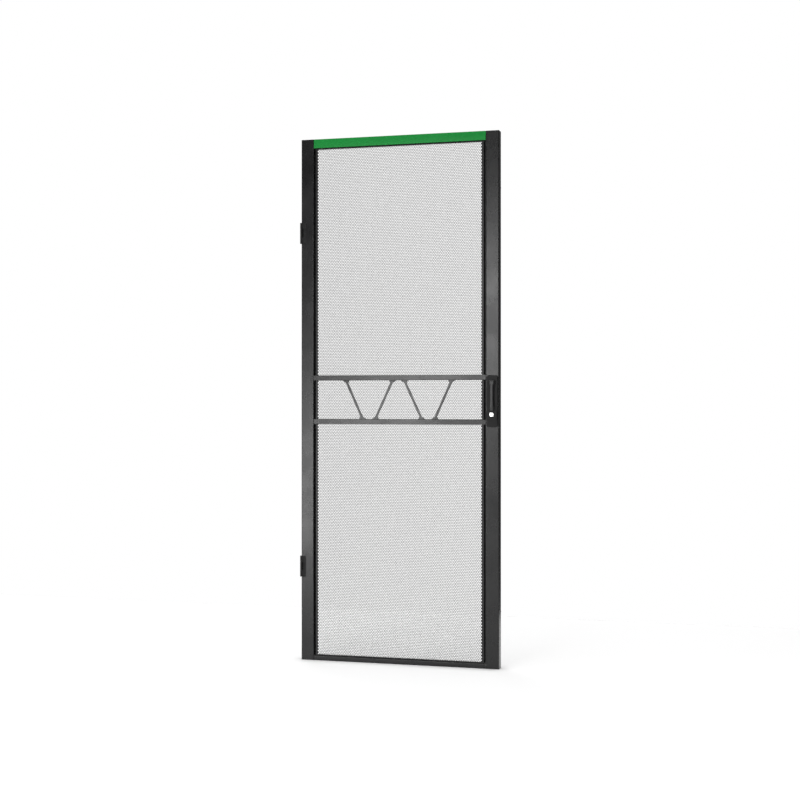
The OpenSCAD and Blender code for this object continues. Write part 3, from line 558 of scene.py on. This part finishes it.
def place(tree, which, **inputs):
    """A node group placed in a material with its own values."""
    made = tree.nodes.new("ShaderNodeGroup")
    made.node_tree = which
    for key, value in inputs.items():
        made.inputs[key.replace("_", " ")].default_value = value
    return made.outputs


def scaled(tree, a, b, operation="MULTIPLY"):
    """Two values multiplied, or joined by another operation."""
    return add(tree, "Math", {0: a, 1: b}, operation=operation).outputs[0]


# ---- effects that several finishes share ----

def make_skin_texture():
    """Surface of a sprayed or moulded skin: a soft ripple with finer pimples on it. Height is both
    together, and Sheen a slow cloudiness that makes some places a little duller."""
    tree, value, result = group("skin texture", [("Ripple", "Float", 700.0), ("Pimples", "Float", 2600.0),
                                                 ("Pimple Share", "Float", 0.3), ("Cloud", "Float", 9.0)],
                                [("Height", "Float"), ("Sheen", "Float")])
    ripple = noise(tree, value["Ripple"], 1.0, 0.4)
    pimples = noise(tree, value["Pimples"], 2.0, 0.6)
    fine = scaled(tree, pimples, value["Pimple Share"])
    tree.links.new(scaled(tree, ripple, fine, "ADD"), result["Height"])
    cloud = noise(tree, value["Cloud"], 4.0, 0.6)
    tree.links.new(span(tree, cloud, 0.35, 0.65), result["Sheen"])
    return tree


def make_edge_wear():
    """How worn an edge is: where the normal of the rounded-off surface leans away from the surface's
    own, more so in some places than in others."""
    tree, value, result = group("edge wear", [("Radius", "Float", 0.0006), ("Breakup", "Float", 160.0)],
                                [("Mask", "Float")])
    rounded = add(tree, "Bevel", {"Radius": value["Radius"]}, samples=4).outputs[0]
    own = add(tree, "NewGeometry").outputs["Normal"]
    lean = add(tree, "VectorMath", {0: rounded, 1: own}, operation="DOT_PRODUCT").outputs["Value"]
    edge = span(tree, lean, 0.985, 0.75)
    broken = span(tree, noise(tree, value["Breakup"], 3.0), 0.42, 0.62)
    tree.links.new(scaled(tree, edge, broken), result["Mask"])
    return tree


def make_dust():
    """Fine dust: most of it on faces that look up, and a thin uneven film elsewhere."""
    tree, value, result = group("settled dust", [("Film", "Float", 0.05), ("Patches", "Float", 14.0)],
                                [("Mask", "Float")])
    normal = add(tree, "NewGeometry").outputs["Normal"]
    up = add(tree, "SeparateXYZ", {0: normal}).outputs["Z"]
    shelf = scaled(tree, span(tree, up, 0.4, 0.95), 0.55)
    patches = span(tree, noise(tree, value["Patches"], 5.0, 0.62), 0.35, 0.75)
    film = scaled(tree, patches, value["Film"])
    tree.links.new(scaled(tree, scaled(tree, shelf, patches), film, "ADD"), result["Mask"])
    return tree


def make_plating():
    """Barrel-plated zinc: a fine crystalline mottle, and faint rub marks where parts knocked
    together."""
    tree, value, result = group("zinc plating", [("Crystals", "Float", 900.0), ("Rubs", "Float", 220.0)],
                                [("Tone", "Float"), ("Dullness", "Float"), ("Height", "Float")])
    where = add(tree, "TexCoord").outputs["Object"]
    cells = add(tree, "TexVoronoi", {"Vector": where, "Scale": value["Crystals"]}).outputs["Color"]
    tone = add(tree, "SeparateColor", {0: cells}).outputs[0]
    cloud = noise(tree, value["Rubs"], 4.0, 0.6)
    tree.links.new(scaled(tree, scaled(tree, tone, 0.4), scaled(tree, cloud, 0.6), "ADD"), result["Tone"])
    tree.links.new(span(tree, cloud, 0.3, 0.7), result["Dullness"])
    tree.links.new(scaled(tree, tone, cloud, "ADD"), result["Height"])
    return tree


SKIN, WEAR, DUST, PLATING = make_skin_texture(), make_edge_wear(), make_dust(), make_plating()


# ---- finishes ----

def finish(name, constants):
    """An empty material and its Principled shader, with these numbers on the shader's own sockets."""
    material = bpy.data.materials.new(name)
    material.use_nodes = True
    tree = material.node_tree
    tree.nodes.clear()
    shader = add(tree, "BsdfPrincipled", constants)
    out = tree.nodes.new("ShaderNodeOutputMaterial")
    tree.links.new(shader.outputs[0], out.inputs[0])
    return material, tree, shader.inputs


def relief(tree, height, depth, strength=1.0):
    """Bump from a height, its full range this many metres deep."""
    return add(tree, "Bump", {"Height": height, "Distance": depth, "Strength": strength}).outputs[0]


def painted(name, dark, light, worn, rough, film, depth, ripple=700.0, pimples=2600.0, share=0.3,
            edge=0.0006, shine=0.42, dust_colour=(0.10, 0.095, 0.085)):
    """A sprayed coat or moulded skin: two close tones clouded together, rubbed bare or shiny at the
    edges and dusty on top; the cloudiness and the dust dull it, and the rubbed edges are smoother."""
    material, tree, to = finish(name, {"Specular IOR Level": shine})
    skin = place(tree, SKIN, Ripple=ripple, Pimples=pimples, Pimple_Share=share)
    wear = place(tree, WEAR, Radius=edge)["Mask"]
    dust = place(tree, DUST, Film=film)["Mask"]
    base = blend(tree, wear, blend(tree, skin["Sheen"], dark, light), worn)
    tree.links.new(blend(tree, dust, base, dust_colour), to["Base Color"])
    dull = span(tree, skin["Sheen"], 0, 1, rough - 0.03, rough + 0.04)
    dull = scaled(tree, dull, scaled(tree, dust, 0.45), "ADD")
    tree.links.new(scaled(tree, dull, scaled(tree, wear, 0.10), "SUBTRACT"), to["Roughness"])
    tree.links.new(relief(tree, skin["Height"], depth), to["Normal"])
    return material


def plated(name, dark, light, rough, depth, metallic=1.0, crystals=900.0):
    """Bare or plated metal: mottled between two tones, duller where it was rubbed, with a little
    dust."""
    material, tree, to = finish(name, {"Metallic": metallic})
    zinc = place(tree, PLATING, Crystals=crystals)
    dust = place(tree, DUST, Film=0.03)["Mask"]
    tree.links.new(blend(tree, dust, blend(tree, zinc["Tone"], dark, light), (0.12, 0.115, 0.105)),
                   to["Base Color"])
    dull = span(tree, zinc["Dullness"], 0, 1, rough - 0.07, rough + 0.10)
    tree.links.new(scaled(tree, dull, scaled(tree, dust, 0.4), "ADD"), to["Roughness"])
    tree.links.new(relief(tree, zinc["Height"], depth), to["Normal"])
    return material


def turned_face(name, centre):
    """Bright nickel on a turned face: very fine rings about the plug's axis, with slight haze."""
    material, tree, to = finish(name, {"Metallic": 1.0})
    where = add(tree, "Mapping", {"Vector": add(tree, "TexCoord").outputs["Object"],
                                  "Location": (-centre[0], 0, -centre[2]), "Scale": (1, 0, 1)}).outputs[0]
    radius = add(tree, "VectorMath", {0: where}, operation="LENGTH").outputs["Value"]
    rings = scaled(tree, scaled(tree, radius, 2 * math.pi / 0.00035), 0.0, "SINE")
    haze = noise(tree, 300.0, 4.0, 0.6)
    tree.links.new(blend(tree, span(tree, haze, 0.3, 0.7), (0.66, 0.66, 0.65), (0.78, 0.78, 0.77)),
                   to["Base Color"])
    tree.links.new(span(tree, haze, 0.3, 0.7, 0.14, 0.26), to["Roughness"])
    tree.links.new(relief(tree, scaled(tree, scaled(tree, rings, 0.5), haze, "ADD"), 0.00001), to["Normal"])
    return material


def fine_field(name, constants, depth):
    """The coat on the bars between the holes, which are too narrow for clouds or wear: one tone and one
    gloss, with the ripple of the spray."""
    material, tree, to = finish(name, constants)
    skin = place(tree, SKIN, Ripple=900.0)
    tree.links.new(relief(tree, skin["Height"], depth), to["Normal"])
    return material


FINISHES = {
    "frame_black": painted("black powder coat", (0.0065, 0.0065, 0.0070), (0.0090, 0.0090, 0.0096),
                           (0.028, 0.028, 0.029), 0.26, 0.03, 0.000012),
    "panel_black": painted("black powder coat on sheet", (0.0110, 0.0110, 0.0116), (0.0145, 0.0145, 0.0152),
                           (0.034, 0.034, 0.035), 0.34, 0.03, 0.000012, ripple=900.0),
    "strip_green": painted("satin green plastic", (0.0070, 0.232, 0.037), (0.0085, 0.252, 0.042),
                           (0.025, 0.30, 0.06), 0.42, 0.02, 0.000006, ripple=1400.0, pimples=4200.0,
                           shine=0.2),
    "cast_black": painted("textured black coat on castings", (0.0045, 0.0045, 0.0048),
                          (0.0065, 0.0065, 0.0069), (0.030, 0.030, 0.031), 0.52, 0.02, 0.00003,
                          ripple=1500.0, pimples=3800.0, share=0.7, shine=0.25),
    "lever_black": painted("satin black coat on the lever", (0.012, 0.012, 0.0127), (0.016, 0.016, 0.0168),
                           (0.050, 0.050, 0.052), 0.36, 0.02, 0.000012, ripple=2200.0, pimples=5200.0,
                           share=0.8),
    "nylon_black": painted("black nylon", (0.018, 0.018, 0.018), (0.024, 0.024, 0.024),
                           (0.045, 0.045, 0.045), 0.52, 0.03, 0.00004, ripple=2200.0),
    "rubber_black": painted("black rubber", (0.016, 0.0155, 0.015), (0.024, 0.0235, 0.023),
                            (0.040, 0.039, 0.038), 0.80, 0.10, 0.00008, ripple=1300.0, shine=0.35),
    "zinc_plate": plated("bright zinc plate", (0.50, 0.52, 0.54), (0.70, 0.71, 0.71), 0.34, 0.00003),
    "gearbox_grey": plated("die-cast zinc alloy", (0.26, 0.27, 0.28), (0.38, 0.385, 0.39), 0.50, 0.00006,
                           0.9, 1600.0),
    "lock_bright": turned_face("bright nickel plate", sum(box("key_plug")) / 2),
}
FIELD_FINISH = fine_field("black powder coat between holes", {
    "Base Color": (0.0088, 0.0088, 0.0093, 1), "Roughness": 0.32}, 0.00001)

SLOTS = {name: obj.material_slots[0].material.name.split(".")[0] for name, obj in nodes.items()}
for name, obj in nodes.items():
    obj.material_slots[0].material = FINISHES[SLOTS[name]]
for pieces, slot in ((margins, "panel_black"), ([strip], "strip_green"), (lever_pieces, "lever_black"),
                     ([plate, turning_hub] + leaves + brackets, "cast_black"), (braces, "frame_black")):
    for piece in pieces:
        piece.data.materials.append(FINISHES[slot])
for piece in field:
    piece.data.materials.append(FIELD_FINISH)


# ---- studio ----

scene = bpy.context.scene
FLOOR_Z = float(cad_low[2]) - 0.0005


def studio_floor():
    """A pale floor: one large rectangle just under the foot of the door."""
    side, front, back = 14.0, -16.0, 1.2
    corners = np.array([[-side, front, FLOOR_Z], [side, front, FLOOR_Z], [side, back, FLOOR_Z],
                        [-side, back, FLOOR_Z]])
    mesh = bpy.data.meshes.new("floor")
    mesh.from_pydata(corners.tolist(), [], [(0, 1, 2, 3)])
    floor = bpy.data.objects.new("floor", mesh)
    scene.collection.objects.link(floor)
    material, _, _ = finish("pale floor", {"Base Color": (0.88, 0.88, 0.88, 1), "Roughness": 1.0,
                                           "Specular IOR Level": 0.0})
    mesh.materials.append(material)
    floor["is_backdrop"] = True


def soft_light(name, centre, target, size, power, roll=0.0):
    """A rectangular softbox at a place, facing another, turned by roll about its own axis, and not seen
    by the camera itself."""
    data = bpy.data.lights.new(name, "AREA")
    data.shape = "RECTANGLE"
    data.size, data.size_y = size
    data.energy = power
    lamp = bpy.data.objects.new(name, data)
    scene.collection.objects.link(lamp)
    aim = mathutils.Vector(target) - mathutils.Vector(centre)
    turn = aim.to_track_quat("-Z", "Y") @ mathutils.Quaternion((0, 0, 1), math.radians(roll))
    lamp.rotation_euler = turn.to_euler()
    lamp.location = centre
    lamp.visible_camera = False


def studio_lights():
    """A diagonal softbox in front whose reflection crosses the frame, broad side and top lights, and a
    high sun that keeps the floor white."""
    middle = ((cad_low + cad_high) / 2).tolist()
    facing = [-0.755, 0.0, 0.6]
    soft_light("diagonal softbox", [-0.755, -4.046, 0.60], facing, (3.0, 0.55), 57.0, 45.0)
    soft_light("left softbox", [-4.2, -2.6, 1.6], middle, (2.2, 3.2), 30.0)
    soft_light("right softbox", [4.8, -2.2, 1.8], middle, (2.0, 3.0), 12.0)
    soft_light("top softbox", [0.3, -2.6, 4.6], middle, (4.0, 2.0), 20.0)
    soft_light("back softbox", [-2.6, 4.0, 2.2], middle, (3.0, 2.4), 60.0)
    sun = bpy.data.lights.new("high sun", "SUN")
    sun.energy = 1.9
    sun.angle = math.radians(4)
    scene.collection.objects.link(bpy.data.objects.new("high sun", sun))


def studio_world():
    """White behind everything the camera sees; for all other light a dim room, darkest in front and
    brightest overhead, as a share of the direction's Y and Z."""
    world = bpy.data.worlds.new("studio")
    scene.world = world
    world.use_nodes = True
    tree = world.node_tree
    tree.nodes.clear()
    way = add(tree, "SeparateXYZ", {0: add(tree, "TexCoord").outputs["Generated"]})
    back = span(tree, way.outputs["Y"], -0.4, 0.8, 0.05, 0.06)
    up = span(tree, way.outputs["Z"], 0.1, 1.0, 0.0, 0.5)
    level = scaled(tree, back, up, "ADD")
    room = add(tree, "Background", {"Color": (1, 1, 1, 1), "Strength": level}).outputs[0]
    white = add(tree, "Background", {"Color": (1, 1, 1, 1), "Strength": 1.0}).outputs[0]
    seen = add(tree, "LightPath").outputs["Is Camera Ray"]
    mix = add(tree, "MixShader", {0: seen, 1: room, 2: white}).outputs[0]
    out = tree.nodes.new("ShaderNodeOutputWorld")
    tree.links.new(mix, out.inputs[0])


studio_floor()
studio_lights()
studio_world()

lens = bpy.data.cameras.new("view")
lens.sensor_width = 36.0
lens.lens = 64.7
lens.clip_end = 200.0
camera = bpy.data.objects.new("view", lens)
scene.collection.objects.link(camera)
camera.location = (1.769, -5.087, 0.6165)
camera.rotation_euler = (math.radians(90), 0, math.asin(0.2677))
scene.camera = camera
scene.view_settings.view_transform = "Standard"
